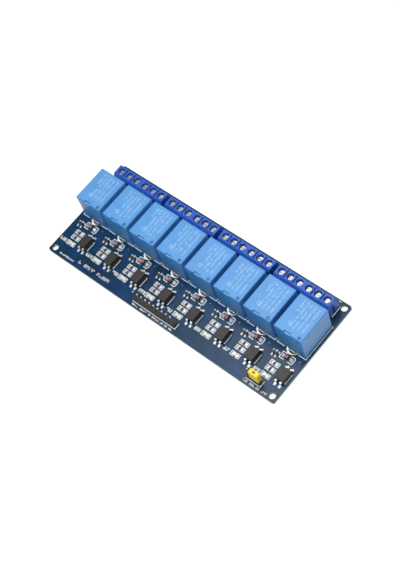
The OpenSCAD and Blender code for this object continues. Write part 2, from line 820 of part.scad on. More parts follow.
circuit_board();
relay_pins();
terminal_screws();
wire_clamps();
terminal_pins();
optocoupler_leads();
transistors();
transistor_leads();
diode_caps();
base_resistors();
lamp_resistors();
input_header_base();
input_header_pins();
power_header_base();
power_header_pins();
jumper_cap();
jumper_clip();
solder_joints();
for (k = [1:channels]) {
    relay(k - 1);
    terminal_block(k - 1);
    optocoupler(k - 1);
    diode(k - 1);
    status_lamp(k - 1);
}
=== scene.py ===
"""Relay module board: finishes, printed legend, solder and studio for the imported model."""

import math
import random

import bmesh
import bpy
from bpy.props import FloatProperty, FloatVectorProperty, PointerProperty
from mathutils import Euler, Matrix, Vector


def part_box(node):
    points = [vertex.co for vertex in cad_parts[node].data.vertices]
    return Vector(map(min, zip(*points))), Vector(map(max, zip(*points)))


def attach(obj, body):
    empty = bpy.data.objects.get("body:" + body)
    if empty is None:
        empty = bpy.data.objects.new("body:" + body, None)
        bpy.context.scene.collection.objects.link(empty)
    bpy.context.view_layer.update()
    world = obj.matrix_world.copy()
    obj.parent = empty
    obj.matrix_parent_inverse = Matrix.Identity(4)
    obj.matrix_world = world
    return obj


bl_info = {
    "name": "Relay Module Board",
    "version": (1, 0, 0),
    "blender": (4, 5, 0),
    "location": "View3D > Sidebar > Relay Board",
    "description": "Dresses the relay module board and sets up its studio",
    "category": "Object",
}

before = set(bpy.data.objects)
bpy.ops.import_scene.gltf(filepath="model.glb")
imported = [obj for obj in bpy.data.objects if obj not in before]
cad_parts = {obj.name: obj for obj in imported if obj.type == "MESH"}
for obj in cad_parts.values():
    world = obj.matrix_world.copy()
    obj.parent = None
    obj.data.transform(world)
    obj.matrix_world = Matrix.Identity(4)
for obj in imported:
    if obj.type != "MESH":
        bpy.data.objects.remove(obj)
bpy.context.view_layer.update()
MM = 0.001
CHANNELS = range(1, 9)
BOARD_LOW, BOARD_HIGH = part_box("circuit_board")


# ---------- where things are, in millimetres ----------


def span(node):
    """Lowest and highest corner of a node, in mm from the board's front left top corner."""
    low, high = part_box(node)
    zero = Vector((BOARD_LOW.x, BOARD_LOW.y, BOARD_HIGH.z))
    return (low - zero) / MM, (high - zero) / MM


def middle(node):
    low, high = span(node)
    return (low + high) / 2


AXES = [middle(f"relay_{k}").x for k in CHANNELS]
PITCH = AXES[1] - AXES[0]
BOARD_L, BOARD_W = span("circuit_board")[1].xy
CHIP_X = middle("status_lamp_1").x - AXES[0]
DIODE_X = middle("diode_1").x - AXES[0]
OPTO_X = middle("optocoupler_1").x - AXES[0]
LAMP_Y = middle("status_lamp_1").y
LAMP_RESISTOR_Y = middle("lamp_resistors").y
BASE_RESISTOR_Y = middle("base_resistors").y
DIODE_Y = middle("diode_1").y
OPTO_Y = middle("optocoupler_1").y
SOT_LOW, SOT_HIGH = span("transistors")
SOT_Y = (SOT_LOW.y + SOT_HIGH.y) / 2
SOT_HALF = 1.45
SOT_X = SOT_LOW.x + SOT_HALF - AXES[0]
RELAY_LOW, RELAY_HIGH = span("relay_1")
VENT_INSET, VENT_FRONT = 1.95, 1.35
VENT = Vector((RELAY_HIGH.x - VENT_INSET, RELAY_LOW.y + VENT_FRONT))
OUTLINE_HALF, OUTLINE_GAP = 8.0, 0.45  # the printed outline round a relay
INK_Z, INK_T = 0.022, 0.022
MARK_T = 0.008
PAD_T = 0.045


# ---------- sizes and colours that a user would change ----------


def linear(r, g, b):
    """A colour given in 0 to 255 screen steps, as the linear values that Blender stores."""
    steps = [c / 255 for c in (r, g, b)]
    return tuple(s / 12.92 if s <= 0.04045 else ((s + 0.055) / 1.055) ** 2.4 for s in steps)


def colour_prop(name, text, r, g, b):
    return FloatVectorProperty(name=name, description=text, subtype="COLOR", size=3, min=0, max=1,
                               default=linear(r, g, b))


def length_prop(name, text, mm):
    return FloatProperty(name=name, description=text, subtype="DISTANCE", unit="LENGTH", min=0,
                         default=mm * MM)


class BoardLook(bpy.types.PropertyGroup):
    mask: colour_prop("Solder mask", "Colour of the mask over bare laminate", 3, 50, 76)
    track: colour_prop("Covered copper", "Colour of the mask over copper tracks", 6, 51, 98)
    laminate: colour_prop("Laminate", "Colour of the drilled and milled walls", 196, 204, 184)
    rim: colour_prop("Board rim", "Colour of the board's cut outer edges", 92, 122, 134)
    legend: colour_prop("Legend", "Colour of the printed lines", 250, 251, 250)
    line: length_prop("Line width", "Width of the printed lines", 0.32)


class PartsLook(bpy.types.PropertyGroup):
    relay: colour_prop("Relay case", "Colour of the relay cases", 58, 142, 212)
    relay_print: colour_prop("Relay print", "Colour of the marks on the relay cases", 178, 218, 244)
    terminal: colour_prop("Terminal plastic", "Colour of the terminal blocks", 44, 92, 188)
    chip: colour_prop("Chip plastic", "Colour of the moulded chips", 38, 37, 33)
    ceramic: colour_prop("Resistor glaze", "Colour of the chip resistors", 58, 52, 50)
    lamp: colour_prop("Lamp lens", "Colour of the lamp lenses", 236, 240, 214)
    glass: colour_prop("Diode glass", "Colour seen through the diodes' glass", 222, 146, 134)
    strip: colour_prop("Header plastic", "Colour of the header strips", 46, 42, 38)
    jumper: colour_prop("Jumper cap", "Colour of the jumper cap", 252, 222, 40)
    edge: length_prop("Edge softness", "Radius that soft moulded edges catch the light with", 0.14)


class MetalLook(bpy.types.PropertyGroup):
    tin: colour_prop("Tin", "Colour of tinned leads and solder", 226, 228, 230)
    steel: colour_prop("Screw plating", "Colour of the terminal screws", 226, 226, 226)
    brass: colour_prop("Clamp plating", "Colour of the wire clamps and the jumper clip",
                       206, 178, 112)
    roughness: FloatProperty(name="Roughness", description="Roughness of clean metal",
                             subtype="FACTOR", min=0, max=1, default=0.3)


class StudioLook(bpy.types.PropertyGroup):
    eye: FloatVectorProperty(name="Camera place", description="Where the camera stands",
                             subtype="TRANSLATION", unit="LENGTH", size=3,
                             default=(0.2644, -0.1479, 0.49))
    turn: FloatVectorProperty(name="Camera turn", description="How the camera is turned",
                              subtype="EULER", unit="ROTATION", size=3,
                              default=[math.radians(a) for a in (29.30, 11.90, 40.41)])
    lens: FloatProperty(name="Focal length", description="Focal length on a 36 mm wide sensor",
                        subtype="DISTANCE_CAMERA", min=10, max=300, default=112.76)
    key: FloatProperty(name="Softbox", description="Power of the large softbox", subtype="POWER",
                       min=0, default=2.65)
    card: FloatProperty(name="Sheen card", description="Power of the card that gives the sheen",
                        subtype="POWER", min=0, default=0.3)
    ceiling: FloatProperty(name="Ceiling", description="Strength of the light from overhead", min=0,
                           max=2, default=0.2)
    walls: FloatProperty(name="Walls", description="Strength of the light from the sides", min=0,
                         max=2, default=0.42)


LOOKS = {"board_look": BoardLook, "parts_look": PartsLook, "metal_look": MetalLook,
         "studio_look": StudioLook}


# ---------- finishes ----------


class Wire:
    """A shader value that can be used in sums."""

    def __init__(self, finish, socket):
        self.finish = finish
        self.socket = socket

    def sum(self, operation, *others, first=None):
        values = [self, *others] if first is None else [first, self]
        return self.finish.node("ShaderNodeMath", {"operation": operation},
                                dict(enumerate(values)))

    def __add__(self, other):
        return self.sum("ADD", other)

    def __sub__(self, other):
        return self.sum("SUBTRACT", other)

    def __rsub__(self, other):
        return self.sum("SUBTRACT", first=other)

    def __mul__(self, other):
        return self.sum("MULTIPLY", other)

    def __truediv__(self, other):
        return self.sum("DIVIDE", other)

    __radd__ = __add__
    __rmul__ = __mul__

    def size(self):
        return self.sum("ABSOLUTE")

    def most(self, other):
        return self.sum("MAXIMUM", other)

    def rise(self, start, end):
        """0 below start, 1 above end and a smooth step between."""
        return self.finish.node("ShaderNodeMapRange", {"interpolation_type": "SMOOTHSTEP"},
                                {0: self, 1: start, 2: end, 3: 0.0, 4: 1.0})


class Finish:
    """A procedural material made of one Principled shader."""

    def __init__(self, name, **plain):
        self.material = bpy.data.materials.new(name)
        self.material.use_nodes = True
        self.tree = self.material.node_tree
        self.shader = self.tree.nodes["Principled BSDF"]
        self.place = self.node("ShaderNodeTexCoord", {}, {}, "Object")
        self.set(**plain)

    def set(self, **values):
        for name, value in values.items():
            label = name.replace("_", " ").title().replace("Ior", "IOR")
            self.plug(self.shader.inputs[label], value)

    def plug(self, socket, value):
        if isinstance(value, Wire):
            self.tree.links.new(value.socket, socket)
        elif hasattr(value, "__len__") and socket.type == "RGBA":
            socket.default_value = (*value[:3], 1)
        else:
            socket.default_value = value

    def node(self, kind, settings, sockets, out=0):
        made = self.tree.nodes.new(kind)
        for name, value in settings.items():
            setattr(made, name, value)
        for name, value in sockets.items():
            self.plug(made.inputs[name], value)
        return Wire(self, made.outputs[out])

    def noise(self, size_mm, detail=2.0, stretch=(1, 1, 1)):
        """Cloudy noise from 0 to 1 whose features are about this large."""
        where = self.node("ShaderNodeVectorMath", {"operation": "MULTIPLY"},
                          {0: self.place, 1: stretch})
        return self.node("ShaderNodeTexNoise", {},
                         {"Vector": where, "Scale": 1 / (size_mm * MM), "Detail": detail})

    def axis(self, letter):
        """An object coordinate in millimetres."""
        return self.node("ShaderNodeSeparateXYZ", {}, {0: self.place}, "XYZ".index(letter)) / MM

    def facing(self, letter):
        normal = self.node("ShaderNodeTexCoord", {}, {}, "Normal")
        return self.node("ShaderNodeSeparateXYZ", {}, {0: normal}, "XYZ".index(letter))

    def across(self, shift):
        """Distance in millimetres, along X, from the nearest channel's middle line plus a shift."""
        first = (AXES[0] + shift) * MM + BOARD_LOW.x
        turn = (self.axis("X") - (first / MM - PITCH / 2)) / PITCH
        return (turn.sum("FRACT") - 0.5) * PITCH

    def base(self):
        """What feeds the base colour now."""
        return Wire(self, self.shader.inputs["Base Color"].links[0].from_socket)

    def mix(self, share, first, second):
        return self.node("ShaderNodeMix", {"data_type": "RGBA"}, {0: share, 6: first, 7: second}, 2)

    def relief(self, height, depth_mm, edge=0.0):
        """Bumps of this height, on edges that are softened by a small radius."""
        sockets = {"Height": height, "Distance": depth_mm * MM, "Strength": 1.0}
        if edge:
            sockets["Normal"] = self.node("ShaderNodeBevel", {"samples": 6}, {"Radius": edge})
        self.set(normal=self.node("ShaderNodeBump", {}, sockets))


class Surround(Finish):
    """The nodes of the world, with the direction as their place."""

    def __init__(self, tree):
        self.tree = tree
        tree.nodes.clear()
        tree.nodes.new("ShaderNodeOutputWorld")
        self.place = self.node("ShaderNodeTexCoord", {}, {}, "Generated")


def shade(colour, factor):
    return tuple(min(c * factor, 1) for c in colour)


def moulded(name, colour, rough=0.4, grain_mm=0.12, cloud=0.12, edge=0.0, bump=0.012):
    """Moulded plastic: fine grain, slight colour clouds and soft edges."""
    f = Finish(name)
    clouds = f.noise(5, 3)
    grain = f.noise(grain_mm, 3)
    dark, pale = shade(colour, 1 - cloud), shade(colour, 1 + cloud)
    f.set(base_color=f.mix(clouds.rise(0.3, 0.7), dark, pale),
          roughness=rough + (grain - 0.5) * 0.16 + (clouds - 0.5) * 0.1)
    f.relief(grain, bump, edge)
    return f


def metal(name, colour, rough, scratch=0.012, edge=0.0, share=0.7):
    """Plated or tinned metal with patchy colour and roughness, and fine scratches."""
    f = Finish(name, metallic=share)
    patches = f.noise(1.4, 4)
    lines = f.noise(0.5, 3, (1, 9, 1))
    f.set(base_color=f.mix(patches.rise(0.35, 0.7), shade(colour, 0.8), colour),
          roughness=rough + (lines - 0.5) * 0.25 + (patches - 0.5) * 0.15)
    f.relief(lines, scratch, edge)
    return f


def mask_sheen(f):
    """The weave that shows through the mask, with its gloss."""
    weave = f.noise(0.45, 2, (1, 1.7, 1))
    clouds = f.noise(6, 3)
    f.relief(weave, 0.006)
    return 0.27 + (weave - 0.5) * 0.08 + (clouds - 0.5) * 0.1


def pin_finish(tin):
    """Tinned pins with a painted highlight on their upper ends and painted shade on their shafts.
    """
    f = metal("header_pin_tin", tin, 0.3, share=0.55)
    top = span("input_header_pins")[1].z + BOARD_HIGH.z / MM
    # painted highlight: the pins grow brighter over their top millimetre
    lit_tip = f.axis("Z").rise(top - 1.1, top - 0.3)
    # painted shade: the shafts below are darkened, in patches
    shaded_shaft = f.mix(f.noise(0.8, 3).rise(0.35, 0.7), shade(tin, 0.16), shade(tin, 0.5))
    f.set(base_color=f.mix(lit_tip, shaded_shaft, shade(tin, 1.2)))
    return f


def board_mask(look):
    """Solder mask on laminate: mask on the faces, bare laminate on the cut edges."""
    f = Finish("board_mask")
    clouds = f.noise(14, 3)
    face = f.facing("Z").size().rise(0.4, 0.7)
    mask = f.mix(clouds.rise(0.3, 0.7), shade(look.mask, 0.8), shade(look.mask, 1.3))
    layers = f.noise(0.3, 4, (1, 1, 4)).rise(0.35, 0.65)
    half_l, half_w = BOARD_L / 2, BOARD_W / 2
    along = (f.axis("X") - (BOARD_LOW.x / MM + half_l)).size() - half_l
    across = (f.axis("Y") - (BOARD_LOW.y / MM + half_w)).size() - half_w
    outside = along.most(across).rise(-1.2, -0.9)
    wall = f.mix(layers, shade(look.laminate, 0.6), look.laminate)
    rim = f.mix(layers, shade(look.rim, 0.6), shade(look.rim, 1.2))
    f.set(base_color=f.mix(face, f.mix(outside, wall, rim), mask),
          roughness=mask_sheen(f) + (1 - face) * 0.4, specular_ior_level=0.35)
    return f


def covered_copper(look):
    f = Finish("covered_copper")
    clouds = f.noise(9, 3)
    f.set(base_color=f.mix(clouds.rise(0.3, 0.7), shade(look.track, 0.75), shade(look.track, 1.25)),
          roughness=mask_sheen(f), specular_ior_level=0.35)
    return f


def printed(name, colour, thin=0.25):
    """Printing ink, with small thin places."""
    f = Finish(name)
    thin_places = f.noise(0.25, 3)
    f.set(base_color=f.mix(thin_places.rise(0.3, 0.6), shade(colour, 1 - thin), colour),
          roughness=0.55 + (thin_places - 0.5) * 0.2)
    f.relief(thin_places, 0.006)
    return f


def resistor_finish(body, ends, half_l=0.65):
    """Glaze between metal ends, told apart by the distance from the chip's middle."""
    f = Finish("resistor_glaze")
    grain = f.noise(0.2, 4)
    metal_share = f.across(CHIP_X).size().rise(half_l - 0.03, half_l + 0.03)
    side = f.mix(grain.rise(0.3, 0.7), shade(body, 0.75), shade(body, 1.3))
    cap = f.mix(grain.rise(0.3, 0.7), shade(ends, 0.75), ends)
    f.set(base_color=f.mix(metal_share, side, cap), metallic=metal_share * 0.9,
          roughness=0.5 - metal_share * 0.18 + (grain - 0.5) * 0.2)
    f.relief(grain, 0.01)
    return f


def lamp_finish(look, tin):
    """A lamp: tinned ends, white carrier, pale lens with a warm chip below its middle."""
    f = Finish("lamp_lens", coat_weight=0.5, coat_roughness=0.1)
    along = f.across(CHIP_X)
    grain = f.noise(0.3, 2)
    side = (f.axis("Y") - (BOARD_LOW.y / MM + LAMP_Y)) * 1.3
    glow = 1 - (along * along + side * side).sum("SQRT").rise(0.1, 0.62)
    ends = along.size().rise(0.68, 0.74)
    lens = f.mix(glow * (0.55 + grain * 0.4), look.lamp, linear(246, 238, 170))
    f.set(base_color=f.mix(ends, lens, tin), metallic=ends * 0.9,
          roughness=0.2 + ends * 0.15 + (grain - 0.5) * 0.1)
    f.relief(grain, 0.01)
    return f


def diode_finish(look):
    """Glass over a copper-coloured slug, with a dark painted band at the right."""
    f = Finish("diode_glass", coat_weight=0.15, coat_roughness=0.2, specular_ior_level=0.2)
    along = f.across(DIODE_X)
    grain = f.noise(0.25, 3)
    core = f.mix(grain.rise(0.35, 0.7), shade(look.glass, 0.25), shade(look.glass, 1.1))
    slug = 1 - (along + 0.4).size().rise(0.7, 1.05)
    dark = 1 - along.rise(0.45, 0.55)
    inner = f.mix(slug, shade(look.glass, 0.07), core)
    f.set(base_color=f.mix(dark, linear(20, 16, 16), inner), roughness=0.3 + grain * 0.15)
    f.relief(grain, 0.006)
    return f


def diode_cap_finish(tin):
    """Tinned caps, with the edge of the painted band on the right one."""
    f = metal("diode_cap_tin", tin, 0.25)
    along = f.across(DIODE_X)
    clear = 1 - along.rise(0.5, 0.55) * (1 - along.rise(1.6, 1.66))
    f.set(base_color=f.mix(clear, linear(26, 22, 22), f.base()), metallic=clear * 0.7)
    return f


def relay_finish(look):
    """Case plastic with a painted sheen on its top and right faces, and painted shade in its
    recesses and vent.
    """
    f = moulded("relay_case", look.relay, rough=0.42, cloud=0.05, edge=look.edge, bump=0.006)
    low, high = (corner + BOARD_HIGH / MM for corner in (RELAY_LOW, RELAY_HIGH))
    half_w, half_d = (high.x - low.x) / 2 - 0.12, (high.y - low.y) / 2 - 0.12
    along = f.across(0).size()
    across = (f.axis("Y") - (BOARD_LOW.y / MM + (RELAY_LOW.y + RELAY_HIGH.y) / 2)).size()
    height = f.axis("Z")
    inside = (1 - along.rise(half_w - 0.02, half_w)) * (1 - across.rise(half_d - 0.02, half_d))
    wall = 1 - f.facing("Z").size().rise(0.5, 0.8)
    from_vent = f.across(VENT.x - AXES[0])
    back = f.axis("Y") - (BOARD_LOW.y / MM + VENT.y)
    radius = (from_vent * from_vent + back * back).sum("SQRT")
    ring = 1 - radius.rise(0.85, 0.9)
    # painted shade: the disc inside the vent ring is darkened, in patches
    plug = (1 - radius.rise(0.6, 0.7)) * (0.3 + f.noise(0.6, 2) * 0.3)
    deep = height.rise(high.z - 3, high.z - 2.9) * (1 - height.rise(high.z - 0.06, high.z - 0.02))
    # painted shade in the recesses: below the top face, their walls and the whole vent ring are
    # darkened
    recess_shade = inside * deep * wall.most(ring)
    # painted sheen: faces that look up or to the right are mixed towards pale white, in clouds
    sheen_clouds = f.noise(3, 3) * 0.04
    painted_sheen = f.facing("Z").rise(0.7, 0.95) * (0.05 + sheen_clouds)
    painted_sheen += f.facing("X").rise(0.7, 0.95) * (0.06 + sheen_clouds)
    sheened_colour = f.mix(painted_sheen, f.base(), (0.9, 0.92, 0.95))
    # the painted shade of the recesses and vent lies over the painted sheen
    f.set(base_color=f.mix(recess_shade.most(plug), sheened_colour, shade(look.relay, 0.12)))
    return f


# ---------- forms ----------


def edges_of(verts):
    """The edges at these vertices, each once and in a steady order."""
    return list(dict.fromkeys(edge for vert in verts for edge in vert.link_edges))


class Form:
    """Collects bmesh forms, in millimetres from the board's front left top corner, in one piece."""

    def __init__(self):
        self.mesh = bmesh.new()

    def bevel(self, edges, offset, segments):
        bmesh.ops.bevel(self.mesh, geom=edges, offset=offset, offset_type="OFFSET",
                        segments=segments, profile=0.5, affect="EDGES", material=-1)

    def block(self, x0, x1, y0, y1, z0, z1):
        verts = bmesh.ops.create_cube(self.mesh, size=1)["verts"]
        bmesh.ops.scale(self.mesh, vec=(x1 - x0, y1 - y0, z1 - z0), verts=verts)
        bmesh.ops.translate(self.mesh, vec=((x0 + x1) / 2, (y0 + y1) / 2, (z0 + z1) / 2),
                            verts=verts)
        return verts

    def ribbon(self, points, width, z, height):
        """A flat band along points, with mitred corners, that stands on z."""
        path = [Vector(point) for point in points]
        sides = [(b - a).normalized().orthogonal() for a, b in zip(path, path[1:])]
        ends = []
        for point, before, after in zip(path, [sides[0], *sides], [*sides, sides[-1]]):
            across = (before + after).normalized()
            across *= width / 2 / across.dot(after)
            ends.append([(*(point + side * across), z) for side in (1, -1)])
        edge = self.mesh.edges.new([self.mesh.verts.new(corner) for corner in ends[0]])
        faces = []
        for last, pair in zip(ends, ends[1:]):
            grown = bmesh.ops.extrude_edge_only(self.mesh, edges=[edge])["geom"]
            edge = next(item for item in grown if isinstance(item, bmesh.types.BMEdge)
                        and len(item.link_faces) == 1 and all(v in grown for v in item.verts))
            faces += [item for item in grown if isinstance(item, bmesh.types.BMFace)]
            for v in edge.verts:
                left = (v.co - Vector(last[0])).length < (v.co - Vector(last[1])).length
                v.co = pair[0 if left else 1]
        faces = [f for f in dict.fromkeys(faces) if f.is_valid]
        raised = bmesh.ops.extrude_face_region(self.mesh, geom=faces, use_keep_orig=True)["geom"]
        top = [item for item in raised if isinstance(item, bmesh.types.BMVert)]
        bmesh.ops.translate(self.mesh, vec=(0, 0, height), verts=top)

    def disc(self, x, y, radius, z, height, sides):
        made = bmesh.ops.create_cone(self.mesh, cap_ends=True, segments=sides, radius1=radius,
                                     radius2=radius, depth=height)
        bmesh.ops.translate(self.mesh, vec=(x, y, z + height / 2), verts=made["verts"])

    def mound(self, x, y, rx, ry, height, z):
        """A smooth drop of solder that stands on its pad."""
        made = bmesh.ops.create_icosphere(self.mesh, subdivisions=3, radius=1)
        verts = made["verts"]
        faces = list(dict.fromkeys(face for vert in verts for face in vert.link_faces))
        cut = bmesh.ops.bisect_plane(self.mesh, geom=[*verts, *edges_of(verts), *faces],
                                     plane_co=(0, 0, 0), plane_no=(0, 0, 1), clear_inner=True)
        rim = [e for e in cut["geom_cut"] if isinstance(e, bmesh.types.BMEdge)]
        bmesh.ops.holes_fill(self.mesh, edges=rim)
        drop = list(dict.fromkeys(vert for edge in rim for vert in edge.verts))
        for vert in drop:
            near = (end for edge in vert.link_edges for end in edge.verts)
            drop += dict.fromkeys(end for end in near if end not in drop)
        bmesh.ops.scale(self.mesh, vec=(rx, ry, height), verts=drop)
        bmesh.ops.translate(self.mesh, vec=(x, y, z), verts=drop)

    def wedge(self, x0, x1, y0, y1, high, low, toward):
        """A solder fillet; toward is the side, as X and Y, on which it is high."""
        verts = self.block(x0, x1, y0, y1, 0, high)
        for v in verts:
            out = (v.co.x - (x0 + x1) / 2) * toward[0] + (v.co.y - (y0 + y1) / 2) * toward[1]
            if v.co.z > high / 2 and out < 0:
                v.co.z = low
        upper = [edge for edge in edges_of(verts) if all(end.co.z > 0 for end in edge.verts)]
        self.bevel(upper, 0.08, 2)

    def piece(self, name, finish):
        bmesh.ops.recalc_face_normals(self.mesh, faces=self.mesh.faces)
        bmesh.ops.scale(self.mesh, vec=(MM, MM, MM), verts=self.mesh.verts)
        bmesh.ops.translate(self.mesh, vec=(BOARD_LOW.x, BOARD_LOW.y, BOARD_HIGH.z),
                            verts=self.mesh.verts)
        data = bpy.data.meshes.new(name)
        self.mesh.to_mesh(data)
        self.mesh.free()
        data.materials.append(finish.material)
        made = bpy.data.objects.new(name, data)
        bpy.context.scene.collection.objects.link(made)
        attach(made, "root")


def dress(names, finish):
    """Gives CAD nodes a finish."""
    for name in names:
        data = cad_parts[name].data
        data.materials.clear()
        data.materials.append(finish.material)


def numbered(stem):
    return [f"{stem}_{k}" for k in CHANNELS]


# ---------- printed legend ----------


def bracket(form, mouth, back, y0, y1, width):
    """A square bracket from its open side to its back."""
    form.ribbon([(mouth, y0), (back, y0), (back, y1), (mouth, y1)], width, INK_Z, INK_T)


def strokes(form, x0, x1, y0, y1, rng, width, gap):
    """Plain upright strokes of different heights, in place of words."""
    middle_y = (y0 + y1) / 2
    x = x0
    while x < x1 - width:
        low, high = rng.choice(((y0, y1), (y0, y1), (y0, y1), (y0, middle_y), (middle_y, y1)))
        form.block(x, x + width, low, high, INK_Z, INK_Z + INK_T)
        x += width + gap * rng.uniform(0.6, 1.4)


def round_bracket(form, mouth, back, y0, y1, radius, width):
    """A bracket with rounded corners."""
    path = [(mouth, y0)]
    for middle_y, start in ((y0 + radius, -math.pi / 2), (y1 - radius, 0)):
        for i in range(7):
            turn = start + i * math.pi / 12
            path.append((back - radius + radius * math.cos(turn),
                         middle_y + radius * math.sin(turn)))
    path.append((mouth, y1))
    form.ribbon(path, width, INK_Z, INK_T)


def channel_legend(form, axis, line):
    """Component outlines of one channel."""
    for y in (LAMP_Y, LAMP_RESISTOR_Y, BASE_RESISTOR_Y):
        for side in (-1, 1):
            chip = axis + CHIP_X
            bracket(form, chip + side * 0.28, chip + side * 2.36, y - 1.0, y + 1.0, line)
    d = axis + DIODE_X
    low, high = DIODE_Y - 1.6, DIODE_Y + 1.65
    bracket(form, d - 0.9, d - 3.45, low, high, line)
    round_bracket(form, d + 1.1, d + 3.5, low, high, 0.7, line)
    for side in (-1, 1):
        x = axis + SOT_X + side * 1.75
        form.ribbon([(x, SOT_Y + 0.35), (x, SOT_Y + 1.25), (x - side * 0.85, SOT_Y + 1.25)],
                    line * 0.8, INK_Z, INK_T)
    o = axis + OPTO_X + 2.55
    form.ribbon([(o - 0.45, OPTO_Y - 2.5), (o, OPTO_Y - 2.5), (o, OPTO_Y + 2.6),
                 (o - 0.45, OPTO_Y + 2.6)], line * 0.8, INK_Z, INK_T)
    y = RELAY_LOW.y - OUTLINE_GAP
    for side in (-1, 1):
        corner = axis + side * OUTLINE_HALF
        form.ribbon([(axis + side * 3.8, y), (corner, y), (corner, y + 1.3)], line, INK_Z, INK_T)
    form.ribbon([(axis - 1.9, y), (axis + 1.9, y)], line, INK_Z, INK_T)


def relay_marks(form, rng):
    """Columns of plain marks and a ring on the top of every relay."""
    z = RELAY_HIGH.z
    left, front = RELAY_LOW.x - AXES[0], RELAY_LOW.y
    columns = ((4.35, 11.3, 17.0), (6.3, 3.8, 17.3), (8.25, 3.4, 17.4), (10.2, 3.8, 17.4),
               (12.5, 4.0, 17.2))
    for axis in AXES:
        for x, start, end in columns:
            x += axis + left
            y = front + start
            while y < front + end:
                run = rng.uniform(0.34, 0.56)
                kind = rng.choice("bar bar step step fork gap".split())
                if kind != "gap":
                    form.block(x - 0.55, x + 0.55, y, y + 0.13, z, z + MARK_T)
                if kind == "step":
                    form.block(x + 0.38, x + 0.55, y + 0.13, y + run, z, z + MARK_T)
                if kind == "fork":
                    form.block(x - 0.55, x - 0.38, y + 0.13, y + run, z, z + MARK_T)
                    form.block(x - 0.08, x + 0.08, y + 0.13, y + run, z, z + MARK_T)
                y += run + 0.17
        turns = [i * math.pi / 12 for i in range(25)]
        form.ribbon([(axis + left + 5.4 + 0.8 * math.cos(t), front + 4.9 + 0.8 * math.sin(t))
                     for t in turns], 0.2, z, MARK_T)


# ---------- copper and solder on the upper face ----------


def tracks(form):
    """Copper tracks under the mask, each a hair higher than the last so that none lie flush."""
    rise = 0.0

    def lay(width, *points):
        nonlocal rise
        form.ribbon(points, width, 0.0, 0.012 + rise)
        rise = (rise + 0.0007) % 0.009

    for k, axis in enumerate(AXES):
        chip, opto, diode, sot = (axis + x for x in (CHIP_X, OPTO_X, DIODE_X, SOT_X))
        lay(0.5, (chip - 1.6, BASE_RESISTOR_Y), (chip - 3.6, BASE_RESISTOR_Y + 1.2),
            (sot - 0.95, SOT_Y - 1.2))
        lay(0.8, (sot, SOT_Y + 1.2), (sot, SOT_Y + 2.6), (diode - 2.6, DIODE_Y + 2.4),
            (diode - 2.6, DIODE_Y))
        lay(1.3, (diode + 2.2, DIODE_Y), (axis + 6.4, DIODE_Y), (axis + 7.6, DIODE_Y - 1.4),
            (axis + 7.6, 16.6))
        lay(0.5, (chip + 1.6, BASE_RESISTOR_Y), (opto - 1.27, OPTO_Y + 5.4))
        lay(1.0, (opto + 1.27, OPTO_Y + 5.2), (axis + 8.2, OPTO_Y + 6.6))
        lay(0.8, (chip + 1.5, LAMP_Y), (opto - 1.27, OPTO_Y - 5.2))
        lay(1.5, (axis - 6.9, RELAY_LOW.y - 2.2), (axis - 5.2, RELAY_LOW.y + 1.0))
        lay(1.5, (axis + 5.4, RELAY_LOW.y + 0.8), (axis + 6.9, RELAY_LOW.y - 2.4))
        lay(0.6, (axis - 7.4, 9.8), (axis - 7.4, 16.5), (axis - 6.0, 18.2))
        if k < 3:
            lay(1.1, (opto + 1.27, OPTO_Y - 5.3), (opto + 0.4, 6.3), (axis - 1.6, 6.3),
                (axis - 3.0, 7.2))
    for width, *points in (
            (1.9, (11.5, 1.7), (36.0, 1.7), (53.0, 1.7)),
            (1.1, (38.5, 3.7), (50.5, 3.7), (52.5, 4.9)),
            (1.1, (38.8, 5.4), (49.0, 5.4), (51.5, 6.6)),
            (1.4, (7.0, 7.6), (9.5, 5.2), (15.0, 4.2)),
            (1.6, (82.5, 3.4), (84.5, 5.6), (84.5, 8.4)),
            (1.3, (86.5, 1.6), (96.0, 1.6), (98.4, 4.2)),
            (1.6, (98.4, 4.7), (104.5, 4.7), (106.5, 3.0), (117.5, 3.0)),
            (1.2, (108.5, 5.4), (114.0, 5.4), (116.0, 6.6), (118.6, 6.6)),
            (0.9, (100.0, 1.3), (118.0, 1.3)),
            (1.8, (131.2, 5.6), (134.6, 5.6), (136.6, 7.6), (136.6, 15.5)),
            (1.3, (130.6, 3.6), (132.6, 3.6)),
            (2.4, (136.6, 18.5), (136.6, 46.0))):
        lay(width, *points)


def vias(form, rng):
    """Small tinned through-holes between the tracks."""
    for axis in AXES:
        for x, y in ((3.6, 18.0), (7.3, 8.2), (6.6, 21.6)):
            form.disc(axis + x + rng.uniform(-0.2, 0.2), y + rng.uniform(-0.2, 0.2),
                      radius=0.26, z=0.0, height=0.04, sides=14)


def pad(form, x0, x1, y0, y1):
    verts = form.block(min(x0, x1), max(x0, x1), min(y0, y1), max(y0, y1), 0, PAD_T)
    form.bevel(edges_of(verts), PAD_T / 3, 1)


